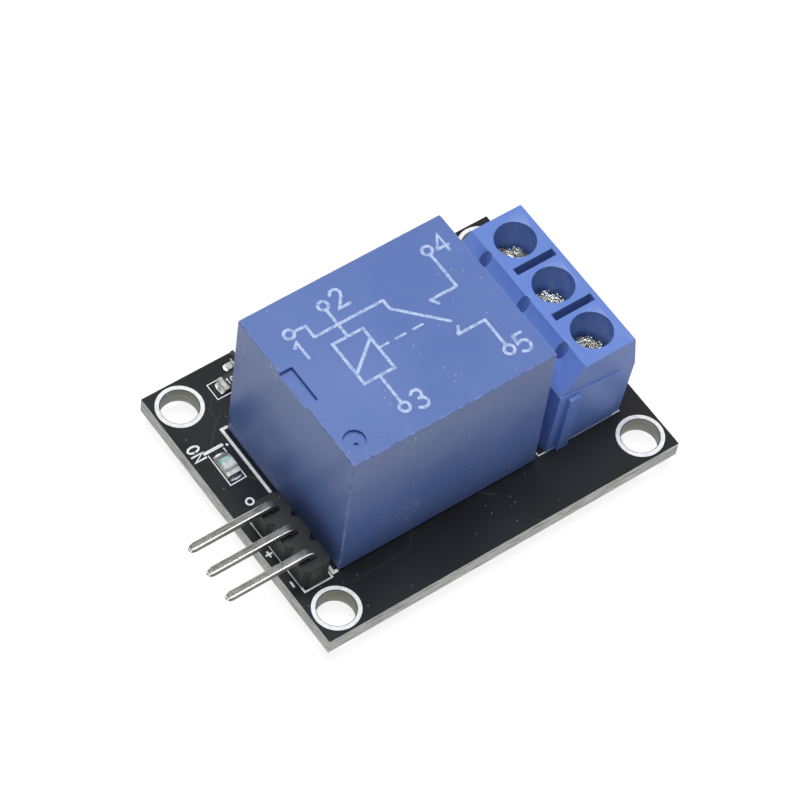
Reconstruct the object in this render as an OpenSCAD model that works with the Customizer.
// Relay module board: a power relay with its driver parts, a pin header and a screw terminal block,
// all on one printed circuit board. Sizes are millimetres. The origin is the centre of the four
// mounting holes on the board's underside. +Z is up and +X runs from the header to the terminals.

/* [Board] */
// Thickness of the board
board_t = 1.6; // [1:0.1:2.4]
// Diameter of the mounting holes
hole_d = 3.2; // [2.4:0.1:3.4]
// From the centre of a mounting hole to both edges of the board
hole_inset = 2.2; // [2:0.1:2.4]
// How far every soldered tail stands out below the board
tail_l = 1.5; // [1.2:0.1:3]
// Width of the strip of board behind the relay, which carries the driver parts
back_strip = 5.9; // [5.6:0.1:12]
// Height of a solder cone round a tail
solder_h = 0.9; // [0.4:0.1:1.1]
// Width of the solder ring round a tail, at the board
solder_ring = 0.55; // [0.3:0.05:0.6]

/* [Pin header] */
// Distance between the header's pins
header_pitch = 2.54; // [2:0.02:2.6]
// Height of the header's plastic strip
strip_h = 2.54; // [1.5:0.02:2.8]
// Width of the header's plastic strip
strip_w = 2.54; // [2:0.02:2.8]
// Cut at the corners of each block of the strip
strip_cut = 0.45; // [0.2:0.05:0.6]
// Side of the square pins
pin_w = 0.64; // [0.5:0.02:0.7]
// From the board's end to the row of pins
header_inset = 2.2; // [1.8:0.1:2.4]
// From the board's near side to the middle pin
header_side = 8.53; // [8.2:0.01:9.5]
// From the strip's top to the underside of the bent pins
pin_gap = 0.35; // [0.3:0.05:1.5]
// Inner radius of the pins' bend
pin_bend_r = 0.3; // [0.1:0.05:0.3]
// How far the pins reach past the board's end
pin_reach = 5.7; // [3:0.1:10]
// Length of the tapered tip of a pin
pin_point = 0.45; // [0.3:0.05:1.5]

/* [Relay case] */
// Length of the relay, along X
relay_l = 19; // [17:0.1:24]
// Width of the relay, along Y
relay_w = 15.5; // [14:0.1:20]
// Height of the relay's top above the board
relay_h = 15.2; // [14.8:0.1:18]
// From the board's end to the relay
relay_inset = 4.2; // [4:0.1:6]
// From the board's near side to the relay
relay_side = 4.8; // [4:0.1:8]
// Thickness of the case's walls and top
case_wall = 0.9; // [0.7:0.05:1]
// Radius on the case's edges
case_r = 0.15; // [0.1:0.05:0.5]
// How far each side of the case leans in over its height
case_draft = 0.02; // [0:0.02:0.12]
// Gap between the case's rim and the board
case_gap = 0.2; // [0.1:0.05:0.3]
// Width of the shallow pocket in the top, at the header's end
pocket_w = 1.15; // [0.8:0.05:1.5]
// Length of that pocket
pocket_l = 3.5; // [2:0.1:5]
// Depth of that pocket
pocket_depth = 0.25; // [0.1:0.05:0.4]
// Diameter of the vent mark in the top
vent_d = 1.9; // [1.2:0.1:2.5]
// Depth of the vent mark
vent_depth = 0.12; // [0.05:0.01:0.3]

/* [Relay inside] */
// Thickness of the relay's base plate
base_t = 1.5; // [1.2:0.1:1.8]
// Height of the feet under the base plate
foot_h = 0.3; // [0.25:0.05:0.5]
// Thickness of the iron yoke
yoke_t = 1.2; // [0.8:0.1:1.3]
// Thickness of the armature
armature_t = 1.1; // [0.8:0.1:1.4]
// Air gap between the armature and the pole when the coil is off
pole_gap = 0.5; // [0.3:0.05:0.6]
// Radius of the iron core
core_r = 1.6; // [1.2:0.1:1.9]
// Radius of the pole face on the core
pole_r = 3.2; // [2.6:0.1:3.6]
// Radius of the copper winding
winding_r = 4.4; // [3.5:0.1:4.5]
// Thickness of the contact spring
spring_t = 0.2; // [0.1:0.02:0.3]
// Radius of the contact rivets' heads
contact_r = 1; // [0.8:0.05:1.1]
// Thickness of a contact rivet's head
contact_t = 0.4; // [0.3:0.05:0.5]
// Thickness of the stamped contact terminals
blade_t = 0.5; // [0.4:0.05:0.6]
// Width of the stamped contact terminals
blade_w = 1.2; // [0.8:0.1:1.4]
// Side of the square coil pins
coil_pin_w = 0.6; // [0.4:0.05:0.7]

/* [Terminal block] */
// Distance between the poles
pole_pitch = 5.08; // [5:0.01:5.2]
// Height of the terminal block
block_h = 10.1; // [9.8:0.1:12]
// Depth of the block at its shoulder, along X
block_d = 7; // [6.9:0.1:7.4]
// How far the block's rear wall leans out from its shoulder down to the board
rear_lean = 0.45; // [0:0.05:0.6]
// Gap between the relay and the block's shoulder
block_gap = 1.6; // [1.2:0.1:4]
// From the block's wire side to the board's end
block_inset = 2.2; // [0.5:0.1:5]
// How far the block's far end stands past the relay's far side
block_past = 0.05; // [-0.5:0.01:1]
// Height at which the sloping shoulder starts
shoulder_z = 7.4; // [7:0.1:8]
// How far the shoulder slopes in
shoulder_in = 2.15; // [1.8:0.05:2.4]
// Height of the knee on the wire side
knee_z = 6.5; // [6:0.1:7]
// How far the knee stands out
knee_out = 0.55; // [0.3:0.05:0.8]
// From the wire side to the screws' axes
screw_in = 2.4; // [2.3:0.05:2.5]
// Diameter of the holes over the screws
access_d = 3.5; // [3.3:0.05:3.6]
// How far the screw heads sit below the top
screw_sink = 2.7; // [2.6:0.1:3]
// Diameter of the screw heads
head_d = 3; // [2.8:0.05:3.1]
// Height of the screw heads
head_h = 1.3; // [1:0.1:1.5]
// Diameter of the screw thread
thread_d = 2.5; // [2:0.1:2.6]
// Width of the driver slot
slot_w = 0.55; // [0.4:0.05:0.8]
// Depth of the driver slot
slot_depth = 0.7; // [0.4:0.1:0.9]
// Width of the slits between the poles
slit_w = 0.7; // [0.4:0.05:0.8]
// Length of the slits between the poles
slit_l = 3.85; // [2.5:0.05:4]
// Diameter of the round notches in the shoulder
notch_d = 1; // [0.8:0.1:1.6]
// Width of the wire entries
entry_w = 3.4; // [3:0.1:3.6]
// Height of the wire entries
entry_h = 3.3; // [3:0.1:3.4]

/* [Clamp] */
// Width of the clamp frame across a pole
frame_w = 3.9; // [3.6:0.1:4]
// Depth of the clamp frame along the wire
frame_d = 3.6; // [3:0.1:3.7]
// Thickness of the frame's side walls
frame_side = 0.5; // [0.4:0.05:0.6]
// Thickness of the threaded top of the frame
nut_t = 1.2; // [1:0.1:1.3]
// Thickness of the frame's floor
frame_floor = 0.8; // [0.6:0.1:0.9]
// Gap left between the screw's head and the frame
head_gap = 0.7; // [0.4:0.05:1.2]
// Thickness of the wire guard
guard_t = 0.3; // [0.2:0.05:0.35]
// Height of the wire guard's turned-up ends
guard_lip = 0.55; // [0.4:0.05:0.6]

/* [Chip parts] */
// Length of the chip resistors and the lamp
chip_l = 2; // [1.6:0.1:2.1]
// Width of the chip resistors and the lamp
chip_w = 1.25; // [0.8:0.05:1.3]
// Thickness of the chip resistors
chip_t = 0.5; // [0.35:0.05:0.6]
// Length of the metal ends on a chip
cap_l = 0.4; // [0.2:0.05:0.5]
// Thickness of the metal on a chip's ends
cap_t = 0.05; // [0.03:0.01:0.08]
// Thickness of the lamp's white base
lamp_base_t = 0.35; // [0.2:0.05:0.5]
// Height of the lamp's clear lens
lens_h = 0.45; // [0.3:0.05:0.7]
// Length of a solder fillet at a chip's end
fillet_l = 0.35; // [0.2:0.05:0.4]
// From the board's end to the lamp's middle
lamp_inset = 2.28; // [1.5:0.02:2.9]
// From the header's middle pin to the lamp's middle
lamp_gap = 8.82; // [6.5:0.02:10]
// From the relay's header end to the first resistor's middle
resistor_in = 2.78; // [1.5:0.02:4]
// From the relay's back to the row of driver parts
row_gap = 3.44; // [2.5:0.02:3.6]
// Space between the diode and the transistor
diode_space = 1.97; // [1.4:0.01:3]
// Space between the transistor and the second resistor
chip_space = 1.55; // [1.2:0.05:2.5]
// Length of the diode's body
diode_l = 2.7; // [2:0.1:3]
// Width of the diode's body
diode_w = 1.4; // [1:0.1:1.5]
// Length of the transistor's body
transistor_l = 2.9; // [2.5:0.1:3.1]
// Width of the transistor's body
transistor_w = 1.3; // [1:0.1:1.5]

/* [Hidden] */
header_pins = 3;
poles = 3;
// clearances: seat between fixed pieces, run between moving ones
seat = 0.05;
run = 0.02;
eps = 0.01;
round_fn = 48;
edge_fn = 24;

// board: its size follows the row of parts that it carries
board_l = relay_inset + relay_l + block_gap + block_d + block_inset;
board_w = relay_side + relay_w + back_strip;
end_x = board_l / 2;
side_y = board_w / 2;
hole_x = end_x - hole_inset;
hole_y = side_y - hole_inset;
top_z = board_t;
lead_play = 0.12;

// header
header_x = header_inset - end_x;
header_y = header_side - side_y;
strip_top = top_z + strip_h;
pin_z = strip_top + pin_gap + pin_w / 2;
bend_r = pin_bend_r + pin_w / 2;

// relay case: u runs from the hinge end to the contact end, v across
relay_x = relay_inset + relay_l / 2 - end_x;
relay_y = relay_side + relay_w / 2 - side_y;
relay_top = top_z + relay_h;
rim_z = top_z + case_gap;
inner_u = relay_l / 2 - case_wall;
inner_v = relay_w / 2 - case_wall;
foot_v = 0.62 * inner_v;
ceiling_z = relay_top - case_wall;
pocket_v = 0.35;
vent_in = 1.4;
vent_side = 1.95;
pit_d = 0.35;

// relay stack, from the ceiling down
rest_plate_top = ceiling_z - 0.3;
rest_plate_z = rest_plate_top - blade_t;
rest_face_z = rest_plate_z - contact_t;
moving_top = rest_face_z - run;
spring_top = moving_top - contact_t;
armature_top = spring_top - spring_t;
armature_z = armature_top - armature_t;
moving_bottom = armature_top - contact_t;
yoke_top = armature_z - run;
pole_top = armature_z - pole_gap;
pole_t = 0.8;
flange_t = 0.7;
flange_top = pole_top - pole_t;

// relay stack, from the board up
base_z = top_z + foot_h;
base_top = base_z + base_t;
yoke_leg_top = base_top + yoke_t;
flange_z = yoke_leg_top + seat;

// relay places along u and v
spring_back = inner_u - 0.2;
yoke_back = spring_back - spring_t;
pivot_u = yoke_t - yoke_back;
flange_half = winding_r + 0.3;
coil_u = pivot_u + 0.3 + flange_half;
yoke_half = 4.5;
hub_r = core_r + 0.5;
contact_u = inner_u - 1.5;
terminal_v = inner_v - 0.85;
coil_pin_step = 2;
coil_pin_u = coil_pin_step - contact_u;
ear_half = 0.8;
armature_end = coil_u + pole_r + 0.6;
plate_half = 1.2;
plate_reach = 1.5;
swing = asin((pole_gap - run) / (coil_u + pole_r - pivot_u));
contact_drop = (contact_u + contact_r - pivot_u) * sin(swing);
work_face_z = moving_bottom - contact_drop - 2 * run;
work_plate_top = work_face_z - contact_t;
work_plate_z = work_plate_top - blade_t;

// terminal block
wire_x = end_x - block_inset;
rear_x = wire_x - block_d;
block_half = poles * pole_pitch / 2;
block_y = relay_y + relay_w / 2 + block_past - block_half;
block_top = top_z + block_h;
screw_x = wire_x - screw_in;
head_top = block_top - screw_sink;
head_z = head_top - head_h;
frame_z = top_z + 0.6;
frame_floor_top = frame_z + frame_floor;
nut_top = head_z - head_gap;
nut_z = nut_top - nut_t;
clamp_h = nut_z - frame_floor_top;
chamber_top = nut_top + 0.1;
slit_depth = block_top - chamber_top - 1;
slit_x = screw_x + 0.05;
entry_z = frame_floor_top + clamp_h / 2 - entry_h / 2;
entry_flare = 0.35;
guard_z = frame_floor_top + run;
guard_top = guard_z + guard_t;
guard_play = 0.2;
guard_w = frame_w - 2 * frame_side - 2 * guard_play;
guard_d = frame_d - 1.5 * guard_play;
tip_z = guard_top + run;
frame_pin_x = 0.8;
frame_pin_y = 1;
notch_x = rear_x + 0.8 * shoulder_in;
notch_depth = block_h - shoulder_z + 1;

// dovetails on the block's ends, which lean with the rear wall
dove_in = 1.4;
dove_out = 0.45;
dove_root = 0.9;
dove_tip = 1.1;
dove_h = shoulder_z - 0.65;
panel_step = 0.1;
panel_fall = 0.75;
panel_in = 0.8;
panel_round = 0.6;

// chip parts
row_y = relay_y + relay_w / 2 + row_gap;
lamp_x = lamp_inset - end_x;
lamp_y = header_y + lamp_gap;
base_res_x = relay_x - relay_l / 2 + resistor_in;
diode_t = 1.1;
diode_x = base_res_x + chip_l / 2 + diode_l / 2 + 2 * seat;
diode_y = row_y + chip_w / 2 + diode_w / 2 + seat;
transistor_t = 1;
transistor_x = diode_x + diode_l / 2 + diode_space + transistor_l / 2;
led_res_x = transistor_x + transistor_l / 2 + chip_space + chip_l / 2;
lead_t = 0.12;
chip_rise = 0.7 * chip_t;
lead_rise = 2 * lead_t;
fillet_top = fillet_l / 4;
fillet_w = chip_w - 2 * seat;
sot_lead_w = 0.42;
sot_lead_gap = 0.95;
sod_lead_w = 0.6;
lead_reach = 0.55;

// ---- helpers ----

// A box given by its middle in X and Y, its floor and its size
module block(x, y, z, size) {
    translate([x - size.x / 2, y - size.y / 2, z]) cube(size);
}

function pin_y(i) = header_y + (i - (header_pins + 1) / 2) * header_pitch;
function pole_y(i) = block_y + (i - (poles + 1) / 2) * pole_pitch;

// Every soldered tail as [x, y, size along X, size along Y]
TAILS = concat(
    [for (i = [1:header_pins]) [header_x, pin_y(i), pin_w, pin_w]],
    [for (i = [1:poles]) [screw_x, pole_y(i), frame_pin_x, frame_pin_y]],
    [for (v = [-1, 1]) [relay_x + contact_u, relay_y + v * terminal_v, blade_t, blade_w]],
    [for (v = [-1, 1]) [relay_x + coil_pin_u, relay_y + v * terminal_v, coil_pin_w, coil_pin_w]],
    [[relay_x - contact_u, relay_y, blade_t, blade_w]]);

// Half the diagonal of a tail, which its round hole has to clear
function tail_r(t) = norm([t[2], t[3]]) / 2;

// ---- board ----

module circuit_board() {
    color([0.09, 0.1, 0.1]) difference() {
        block(0, 0, 0, [board_l, board_w, board_t]);
        for (sx = [-1, 1], sy = [-1, 1])
            translate([sx * hole_x, sy * hole_y, -eps])
                cylinder(h = board_t + 2 * eps, d = hole_d, $fn = round_fn);
        for (t = TAILS)
            translate([t[0], t[1], -eps])
                cylinder(h = board_t + 2 * eps, r = tail_r(t) + lead_play, $fn = round_fn);
    }
}

// Solder cones under the board, each with its tail left out
module pin_solder() {
    color("silver") for (t = TAILS) difference() {
        translate([t[0], t[1], -solder_h])
            cylinder(h = solder_h, r1 = tail_r(t) + 0.05, r2 = tail_r(t) + solder_ring, $fn = round_fn);
        block(t[0], t[1], -solder_h - eps, [t[2], t[3], solder_h + 2 * eps]);
    }
}

// One wedge of solder that leans on a metal end facing along angle a
module fillet(x, y, a, reach, w, h) {
    translate([x, y, top_z]) rotate(a) translate([reach, w / 2, 0]) rotate([90, 0, 0])
        linear_extrude(w) polygon([[0, 0], [fillet_l, 0], [fillet_top, h]]);
}

module chip_solder() {
    color("silver") {
        for (s = [0, 180]) {
            fillet(lamp_x, lamp_y, 90 + s, chip_l / 2, fillet_w, lamp_base_t);
            fillet(base_res_x, row_y, s, chip_l / 2, fillet_w, chip_rise);
            fillet(led_res_x, row_y, s, chip_l / 2, fillet_w, chip_rise);
            fillet(diode_x, diode_y, s, diode_l / 2 + lead_reach, sod_lead_w, lead_rise);
        }
        for (x = [-sot_lead_gap, sot_lead_gap])
            fillet(transistor_x + x, row_y, -90, transistor_w / 2 + lead_reach, sot_lead_w, lead_rise);
        fillet(transistor_x, row_y, 90, transistor_w / 2 + lead_reach, sot_lead_w, lead_rise);
    }
}

// ---- pin header ----

module strip_outline(x, y) {
    c = strip_cut;
    a = strip_w / 2;
    b = header_pitch / 2;
    translate([x, y]) polygon([
        [-a, c - b], [c - a, -b], [a - c, -b], [a, c - b],
        [a, b - c], [a - c, b], [c - a, b], [-a, b - c]]);
}

module header_strip() {
    color([0.08, 0.08, 0.08]) difference() {
        translate([0, 0, top_z]) linear_extrude(strip_h)
            for (i = [1:header_pins]) strip_outline(header_x, pin_y(i));
        for (i = [1:header_pins])
            block(header_x, pin_y(i), top_z - eps, [pin_w, pin_w, strip_h + 2 * eps]);
    }
}

// A square pin: tail, upright, bend and a level arm with a tapered point
module header_pin(i) {
    h = pin_w / 2;
    arm_x = header_x - bend_r;
    arm_l = arm_x + end_x + pin_reach;
    color("silver") {
        block(header_x, pin_y(i), -tail_l, [pin_w, pin_w, tail_l + pin_z - bend_r]);
        translate([arm_x, pin_y(i), pin_z - bend_r]) rotate([90, 0, 0])
            rotate_extrude(angle = 90, $fn = round_fn) translate([bend_r - h, -h]) square(pin_w);
        translate([arm_x, pin_y(i), pin_z]) intersection() {
            rotate([90, 0, 0]) linear_extrude(pin_w, center = true) arm_side(arm_l, h);
            linear_extrude(pin_w, center = true) arm_side(arm_l, h);
        }
    }
}

// Outline of the pin's level arm, seen from any side
module arm_side(l, h) {
    polygon([[0, -h], [0, h], [pin_point - l, h], [-l, 0.7 * h], [-l, -0.7 * h], [pin_point - l, -h]]);
}

// ---- relay case and base ----

module relay_case() {
    pocket_x = -relay_l / 2;
    color([0.3, 0.42, 0.75]) translate([relay_x, relay_y, 0]) difference() {
        hull() for (su = [-1, 1], sv = [-1, 1]) {
            translate([su * (relay_l / 2 - case_r), sv * (relay_w / 2 - case_r), rim_z])
                cylinder(h = case_r, r = case_r, $fn = edge_fn);
            translate([su * (relay_l / 2 - case_r - case_draft),
                       sv * (relay_w / 2 - case_r - case_draft), relay_top - case_r])
                sphere(r = case_r, $fn = edge_fn);
        }
        block(0, 0, rim_z - eps, [2 * inner_u, 2 * inner_v, ceiling_z - rim_z + eps]);
        translate([pocket_x - eps, pocket_v - pocket_l / 2, relay_top - pocket_depth])
            cube([pocket_w + eps, pocket_l, pocket_depth + eps]);
        translate([vent_in - relay_l / 2, vent_side - relay_w / 2, relay_top - vent_depth])
            cylinder(h = vent_depth + eps, d = vent_d, $fn = edge_fn);
        translate([vent_in - relay_l / 2, vent_side - relay_w / 2 - 0.25, relay_top - pocket_depth])
            cylinder(h = pocket_depth, d = pit_d, $fn = edge_fn);
    }
}

module relay_base() {
    post_l = 1.6;
    post_h = 3.5;
    color([0.2, 0.25, 0.4]) translate([relay_x, relay_y, 0]) difference() {
        union() {
            block(0, 0, base_z, [2 * (inner_u - seat), 2 * (inner_v - seat), base_t]);
            for (su = [-1, 1], sv = [-1, 1])
                block(su * (inner_u - 0.8), sv * foot_v, top_z, [1, 1, foot_h]);
            for (v = [-1, 1])
                block(contact_u, v * (inner_v - seat - post_l / 2), base_top, [post_l, post_l, post_h]);
        }
        for (v = [-1, 1]) {
            block(contact_u, v * terminal_v, base_z - eps, [blade_t, blade_w, base_t + post_h + 2 * eps]);
            block(coil_pin_u, v * terminal_v, base_z - eps, [coil_pin_w, coil_pin_w, base_t + 2 * eps]);
        }
        block(-contact_u, 0, base_z - eps, [blade_t, blade_w, base_t + 2 * eps]);
    }
}

// ---- relay coil ----

module relay_bobbin() {
    flange = 2 * flange_half;
    color([0.85, 0.82, 0.7]) translate([relay_x, relay_y, 0]) difference() {
        union() {
            block(coil_u, 0, flange_z, [flange, flange, flange_t]);
            block(coil_u, 0, flange_top - flange_t, [flange, flange, flange_t]);
            translate([coil_u, 0, flange_z])
                cylinder(h = flange_top - flange_z, r = hub_r, $fn = round_fn);
            for (v = [-1, 1])
                block(coil_pin_u, v * (flange_half + inner_v - 0.2) / 2, base_top,
                      [2 * ear_half, inner_v - 0.2 - flange_half, flange_z + flange_t - base_top]);
        }
        translate([coil_u, 0, flange_z - eps])
            cylinder(h = flange_top - flange_z + 2 * eps, r = core_r + run, $fn = round_fn);
        for (v = [-1, 1])
            block(coil_pin_u, v * terminal_v, base_top - eps,
                  [coil_pin_w, coil_pin_w, flange_z - base_top + eps]);
    }
}

module relay_winding() {
    z = flange_z + flange_t + run;
    h = flange_top - flange_t - run - z;
    color([0.75, 0.4, 0.2]) translate([relay_x + coil_u, relay_y, z]) difference() {
        cylinder(h = h, r = winding_r, $fn = round_fn);
        translate([0, 0, -eps]) cylinder(h = h + 2 * eps, r = hub_r + run, $fn = round_fn);
    }
}

// Iron core: a shank riveted into the yoke, with a wide pole face
module relay_core() {
    z = base_top + seat;
    color("silver") translate([relay_x + coil_u, relay_y, 0]) {
        translate([0, 0, z]) cylinder(h = flange_top - z + eps, r = core_r, $fn = round_fn);
        translate([0, 0, flange_top]) cylinder(h = pole_t, r = pole_r, $fn = round_fn);
    }
}

// Iron yoke: one leg under the coil and one up the relay's end
module relay_yoke() {
    color("gray") translate([relay_x, relay_y, 0]) difference() {
        union() {
            translate([-yoke_back, -yoke_half, base_top])
                cube([coil_u + hub_r + yoke_back, 2 * yoke_half, yoke_t]);
            translate([-yoke_back, -yoke_half, base_top])
                cube([yoke_t, 2 * yoke_half, yoke_top - base_top]);
        }
        translate([coil_u, 0, base_top - eps])
            cylinder(h = yoke_t + 2 * eps, r = core_r + run, $fn = round_fn);
    }
}

// ---- relay moving set ----

module relay_armature() {
    half = flange_half - 0.3;
    nose = 3;
    color("lightgray") translate([relay_x, relay_y, armature_z]) linear_extrude(armature_t)
        polygon([
            [pivot_u - 0.35, -half], [armature_end - nose, -half], [armature_end, -half / 2],
            [armature_end, half / 2], [armature_end - nose, half], [pivot_u - 0.35, half]]);
}

// Contact spring: a leg on the yoke's back, a bend and an arm over the armature
module relay_contact_spring() {
    r = 1;
    w = 4;
    bend_u = -spring_back + r;
    bend_z = spring_top - r;
    leg = 5;
    color("peru") translate([relay_x, relay_y, 0]) difference() {
        union() {
            translate([bend_u, -w / 2, armature_top]) cube([coil_u - bend_u, w, spring_t]);
            translate([coil_u - eps, -plate_half, armature_top])
                cube([contact_u + contact_r - coil_u, 2 * plate_half, spring_t]);
            translate([bend_u, w / 2, bend_z]) rotate([90, 0, 0]) rotate(90)
                rotate_extrude(angle = 90, $fn = round_fn) translate([r - spring_t, 0])
                    square([spring_t, w]);
            translate([-spring_back, -w / 2, bend_z - leg]) cube([spring_t, w, leg]);
        }
        translate([contact_u, 0, armature_top - eps])
            cylinder(h = spring_t + 2 * eps, r = contact_r / 2 + run, $fn = round_fn);
    }
}

// A rivet with a shank of half its head's radius; heads reach from z0 to z1 and from z2 to z3
module rivet(z0, z1, z2, z3) {
    translate([relay_x + contact_u, relay_y, 0]) {
        if (z1 > z0) translate([0, 0, z0]) cylinder(h = z1 - z0, r = contact_r, $fn = round_fn);
        if (z3 > z2) translate([0, 0, z2]) cylinder(h = z3 - z2, r = contact_r, $fn = round_fn);
        translate([0, 0, z0]) cylinder(h = z3 - z0, r = contact_r / 2, $fn = round_fn);
    }
}

module relay_moving_contact() {
    color("silver") rivet(moving_bottom, armature_top, spring_top, moving_top);
}

// ---- relay contact terminals ----

// A stamped terminal: an upright blade at v, and a plate that reaches over to the contact
module contact_terminal(v, plate_z) {
    far = v * (terminal_v + blade_w / 2);
    near = -v * plate_reach;
    color([0.8, 0.6, 0.35]) translate([relay_x + contact_u, relay_y, 0]) difference() {
        union() {
            block(0, v * terminal_v, -tail_l, [blade_t, blade_w, tail_l + plate_z + blade_t]);
            block(0, (far + near) / 2, plate_z, [2 * plate_half, abs(far - near), blade_t]);
        }
        translate([0, 0, plate_z - eps])
            cylinder(h = blade_t + 2 * eps, r = contact_r / 2 + run, $fn = round_fn);
    }
}

module relay_rest_terminal() {
    contact_terminal(1, rest_plate_z);
}

module relay_work_terminal() {
    contact_terminal(-1, work_plate_z);
}

module relay_rest_contact() {
    color("silver") rivet(rest_face_z, rest_plate_z, rest_plate_top, rest_plate_top);
}

module relay_work_contact() {
    color("silver") rivet(work_plate_z, work_plate_z, work_plate_top, work_face_z);
}

module relay_common_terminal() {
    color([0.8, 0.6, 0.35])
        block(relay_x - contact_u, relay_y, -tail_l, [blade_t, blade_w, tail_l + base_top]);
}

module relay_coil_pin(v) {
    color("silver") block(relay_x + coil_pin_u, relay_y + v * terminal_v, -tail_l,
        [coil_pin_w, coil_pin_w, tail_l + flange_z]);
}

// ---- terminal block ----

// Side view of the block, as [x, z]
module block_side_view() {
    polygon([
        [rear_x - rear_lean, top_z], [rear_x, top_z + shoulder_z], [rear_x + shoulder_in, block_top],
        [wire_x, block_top], [wire_x + knee_out, top_z + knee_z], [wire_x, top_z]]);
}

// Where the rear wall is at a height above the board
function rear_at(h) = rear_x - rear_lean * (1 - h / shoulder_z);

// Plan of the dovetail at a height, standing out along +Y from y = 0
module dovetail(h, play) {
    x = rear_at(h) + dove_in;
    polygon([
        [x - dove_root / 2 - play, -eps], [x + dove_root / 2 + play, -eps],
        [x + dove_tip / 2 + play, dove_out + play], [x - dove_tip / 2 - play, dove_out + play]]);
}

// The leaning dovetail from the board up, as high as h
module dove_bar(h, play) {
    hull() for (z = [0, h]) translate([0, 0, top_z + z]) linear_extrude(eps) dovetail(z, play);
}

// What one pole leaves empty: the screw's way in, the clamp's chamber and the wire entry
module pole_hollow(y) {
    translate([screw_x, y, chamber_top - eps])
        cylinder(h = block_top - chamber_top + 2 * eps, d = access_d, $fn = round_fn);
    block(screw_x, y, top_z - eps, [frame_d + 2 * seat, frame_w + 2 * seat, chamber_top - top_z + eps]);
    translate([screw_x, y - entry_w / 2, entry_z]) cube([block_d, entry_w, entry_h]);
    translate([wire_x + knee_out / 2, y - entry_w / 2 - entry_flare, entry_z - entry_flare])
        cube([block_d, entry_w + 2 * entry_flare, entry_h + 2 * entry_flare]);
    translate([notch_x, y, block_top - notch_depth])
        cylinder(h = notch_depth + eps, d = notch_d, $fn = round_fn);
}

module terminal_housing() {
    near_y = block_y - block_half;
    far_y = block_y + block_half;
    color([0.32, 0.42, 0.85]) difference() {
        union() {
            translate([0, far_y, 0]) rotate([90, 0, 0]) linear_extrude(2 * block_half) block_side_view();
            translate([0, near_y, 0]) mirror([0, 1, 0]) dove_bar(dove_h, 0);
            translate([0, near_y, 0]) rotate([90, 0, 0]) linear_extrude(panel_step) end_panel();
        }
        for (i = [1:poles]) pole_hollow(pole_y(i));
        for (i = [1:poles - 1])
            block(slit_x, (pole_y(i) + pole_y(i + 1)) / 2, block_top - slit_depth,
                  [slit_l, slit_w, slit_depth + eps]);
        translate([0, far_y, -eps]) mirror([0, 1, 0]) dove_bar(dove_h + seat, seat);
    }
}

// The raised panel on the near end, below its rounded edge and the line up to the shoulder, as [x, z]
module end_panel() {
    x1 = wire_x - panel_in;
    z0 = top_z + shoulder_z;
    z1 = z0 - panel_fall;
    polygon(concat(
        [[rear_x - rear_lean, top_z], [x1, top_z]],
        [for (a = [0:30:60]) [x1 - panel_round * (1 - cos(a)), z1 - panel_round * (1 - sin(a))]],
        [[x1 - panel_round, z1], [rear_x, z0]]));
}

// Clamp frame: a square loop with a threaded top and the solder pin under its floor
module terminal_frame(i) {
    color("silver") difference() {
        union() {
            block(screw_x, pole_y(i), frame_z, [frame_d, frame_w, nut_top - frame_z]);
            block(screw_x, pole_y(i), -tail_l, [frame_pin_x, frame_pin_y, tail_l + frame_z + eps]);
        }
        block(screw_x, pole_y(i), frame_floor_top, [frame_d + 2 * eps, frame_w - 2 * frame_side, clamp_h]);
        translate([screw_x, pole_y(i), nut_z - eps])
            cylinder(h = nut_t + 2 * eps, d = thread_d + 2 * seat, $fn = round_fn);
    }
}

// Wire guard: a bent strip that the screw presses down on the wire
module wire_guard(i) {
    color("gainsboro") {
        block(screw_x, pole_y(i), guard_z, [guard_d, guard_w, guard_t]);
        for (s = [-1, 1])
            block(screw_x + s * (guard_d - guard_t) / 2, pole_y(i), guard_z, [guard_t, guard_w, guard_lip]);
    }
}

// Screw: a slotted cheese head on a threaded shank with a pointed end
module terminal_screw(i) {
    point = 0.35;
    edge = 0.15;
    color("silver") translate([screw_x, pole_y(i), 0]) difference() {
        rotate_extrude($fn = round_fn) polygon([
            [0, tip_z], [thread_d / 2 - point, tip_z], [thread_d / 2, tip_z + point],
            [thread_d / 2, head_z], [head_d / 2, head_z], [head_d / 2, head_top - edge],
            [head_d / 2 - edge, head_top], [0, head_top]]);
        rotate(20 * i) block(0, 0, head_top - slot_depth, [head_d + 1, slot_w, slot_depth + eps]);
    }
}

// ---- chip parts ----

// Body of a chip: full height between its metal ends, thinner inside them
module chip_body(h) {
    block(0, 0, cap_t, [chip_l - 2 * cap_t, chip_w, h - 2 * cap_t]);
    block(0, 0, 0, [chip_l - 2 * cap_l, chip_w, h]);
}

module chip_ends(h) {
    for (s = [-1, 1]) difference() {
        block(s * (chip_l - cap_l) / 2, 0, 0, [cap_l, chip_w, h]);
        block(0, 0, cap_t, [chip_l - 2 * cap_t, chip_w + 2 * eps, h - 2 * cap_t]);
    }
}

module led_base() {
    color("ivory") translate([lamp_x, lamp_y, top_z]) rotate(90) chip_body(lamp_base_t);
}

module led_ends() {
    color("silver") translate([lamp_x, lamp_y, top_z]) rotate(90) chip_ends(lamp_base_t);
}

// Lens: a low block with leaning ends
module led_lens() {
    a = chip_l / 2 - cap_l;
    color("honeydew") translate([lamp_x + chip_w / 2, lamp_y, top_z + lamp_base_t]) rotate([90, 0, -90])
        linear_extrude(chip_w) polygon([[-a, 0], [a, 0], [a - 0.1, lens_h], [0.1 - a, lens_h]]);
}

module base_resistor() {
    color([0.1, 0.1, 0.1]) translate([base_res_x, row_y, top_z]) chip_body(chip_t);
}

module base_resistor_ends() {
    color("silver") translate([base_res_x, row_y, top_z]) chip_ends(chip_t);
}

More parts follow.
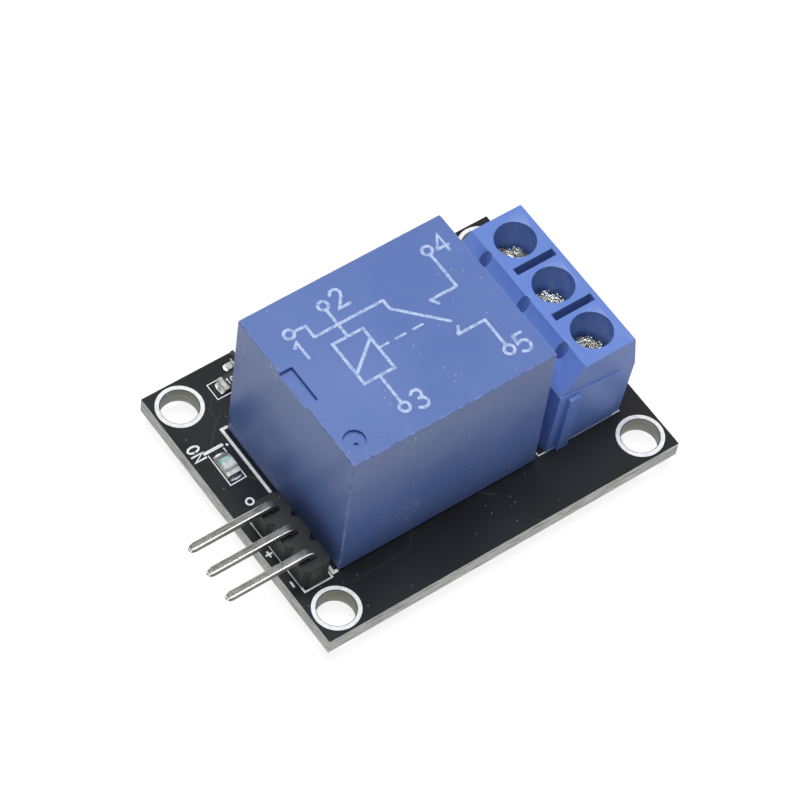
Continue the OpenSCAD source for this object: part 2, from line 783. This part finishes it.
module led_resistor() {
    color([0.1, 0.1, 0.1]) translate([led_res_x, row_y, top_z]) chip_body(chip_t);
}

module led_resistor_ends() {
    color("silver") translate([led_res_x, row_y, top_z]) chip_ends(chip_t);
}

// Plastic body along X with leaning long sides, h high, over a small standing gap
module moulded_body(l, w, h) {
    lean = 0.12;
    gap = 0.05;
    translate([-l / 2, 0, gap]) rotate([90, 0, 90]) linear_extrude(l)
        polygon([
            [lean - w / 2, 0], [w / 2 - lean, 0], [w / 2, (h - gap) / 2],
            [w / 2 - lean, h - gap], [lean - w / 2, h - gap], [-w / 2, (h - gap) / 2]]);
}

// A gull-wing lead that leaves a body of half width a at height z along +X
module gull_lead(a, z, w) {
    step = lead_reach * 0.35;
    translate([0, w / 2, 0]) rotate([90, 0, 0]) linear_extrude(w) polygon([
        [a, z], [a + step, z], [a + step, lead_t], [a + lead_reach, lead_t], [a + lead_reach, 0],
        [a + step - lead_t, 0], [a + step - lead_t, z - lead_t], [a, z - lead_t]]);
}

module transistor_body() {
    color([0.12, 0.12, 0.12]) translate([transistor_x, row_y, top_z])
        moulded_body(transistor_l, transistor_w, transistor_t);
}

module transistor_leads() {
    z = (transistor_t + 0.05) / 2 + lead_t / 2;
    a = transistor_w / 2;
    color("silver") translate([transistor_x, row_y, top_z]) {
        for (x = [-sot_lead_gap, sot_lead_gap]) translate([x, 0, 0]) rotate(-90) gull_lead(a, z, sot_lead_w);
        rotate(90) gull_lead(a, z, sot_lead_w);
    }
}

module diode_body() {
    color([0.12, 0.12, 0.12]) translate([diode_x, diode_y, top_z]) moulded_body(diode_l, diode_w, diode_t);
}

module diode_leads() {
    color("silver") translate([diode_x, diode_y, top_z]) for (s = [0, 180])
        rotate(s) gull_lead(diode_l / 2, 0.5, sod_lead_w);
}

// ---- output ----

circuit_board();
pin_solder();
chip_solder();
header_strip();
for (i = [1:header_pins]) header_pin(i);
relay_case();
relay_base();
relay_bobbin();
relay_winding();
relay_core();
relay_yoke();
relay_armature();
relay_contact_spring();
relay_moving_contact();
relay_rest_terminal();
relay_rest_contact();
relay_work_terminal();
relay_work_contact();
relay_common_terminal();
relay_coil_pin(-1);  // relay_coil_pin_1
relay_coil_pin(1);  // relay_coil_pin_2
terminal_housing();
for (i = [1:poles]) terminal_frame(i);
for (i = [1:poles]) wire_guard(i);
for (i = [1:poles]) terminal_screw(i);
led_base();
led_lens();
led_ends();
base_resistor();
base_resistor_ends();
led_resistor();
led_resistor_ends();
transistor_body();
transistor_leads();
diode_body();
diode_leads();
